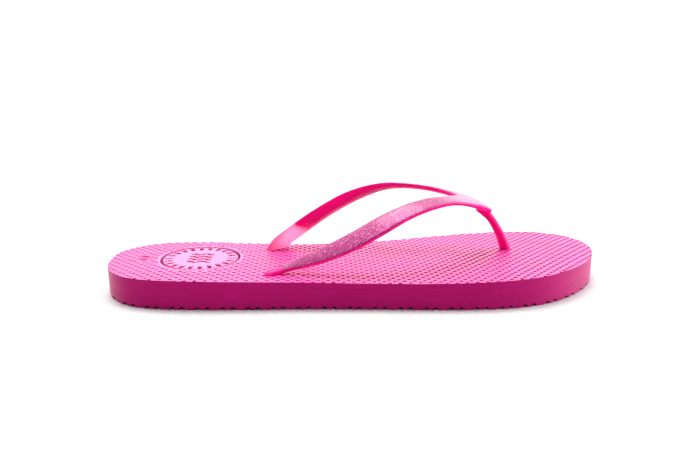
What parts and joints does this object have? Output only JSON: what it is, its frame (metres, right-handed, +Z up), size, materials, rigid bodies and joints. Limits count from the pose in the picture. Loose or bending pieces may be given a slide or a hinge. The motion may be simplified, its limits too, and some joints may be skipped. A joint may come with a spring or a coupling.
{
  "type": "flip flop",
  "caption": "Women's thong sandal for the right foot: foam rubber sole with a bending forefoot, and a moulded strap with a glitter layer and a toe post.",
  "frame": {"origin": "on the floor, under the middle of the sandal's box", "axes": "+X from heel to toe, +Y to the big-toe side, +Z up"},
  "size_m": [0.2503, 0.0854, 0.0483],
  "materials": {
    "sole_foam": "matt pink closed-cell foam rubber",
    "strap_pvc": "smooth soft PVC, hot pink, slightly see-through at its edges",
    "glitter": "clear pink layer full of fine glitter"
  },
  "bodies": {
    "rearfoot": {"sole_rear": "sole_foam", "lateral_arm": "strap_pvc", "medial_arm": "strap_pvc", "lateral_plug": "strap_pvc", "medial_plug": "strap_pvc", "lateral_glitter": "glitter", "medial_glitter": "glitter"},
    "forefoot": {"sole_front": "sole_foam", "toe_post": "strap_pvc", "toe_plug": "strap_pvc", "yoke_glitter": "glitter"}
  },
  "joints": [
    {"name": "ball_flex", "type": "hinge", "parent": "rearfoot", "child": "forefoot", "pos_m": [0.0246, 0, 0.0127], "axis": [0, -1, 0], "range_deg": [0, 40], "stiffness_Nm_per_rad": 0.5, "deforming": ["lateral_arm", "medial_arm", "lateral_glitter", "medial_glitter"]}
  ]
}
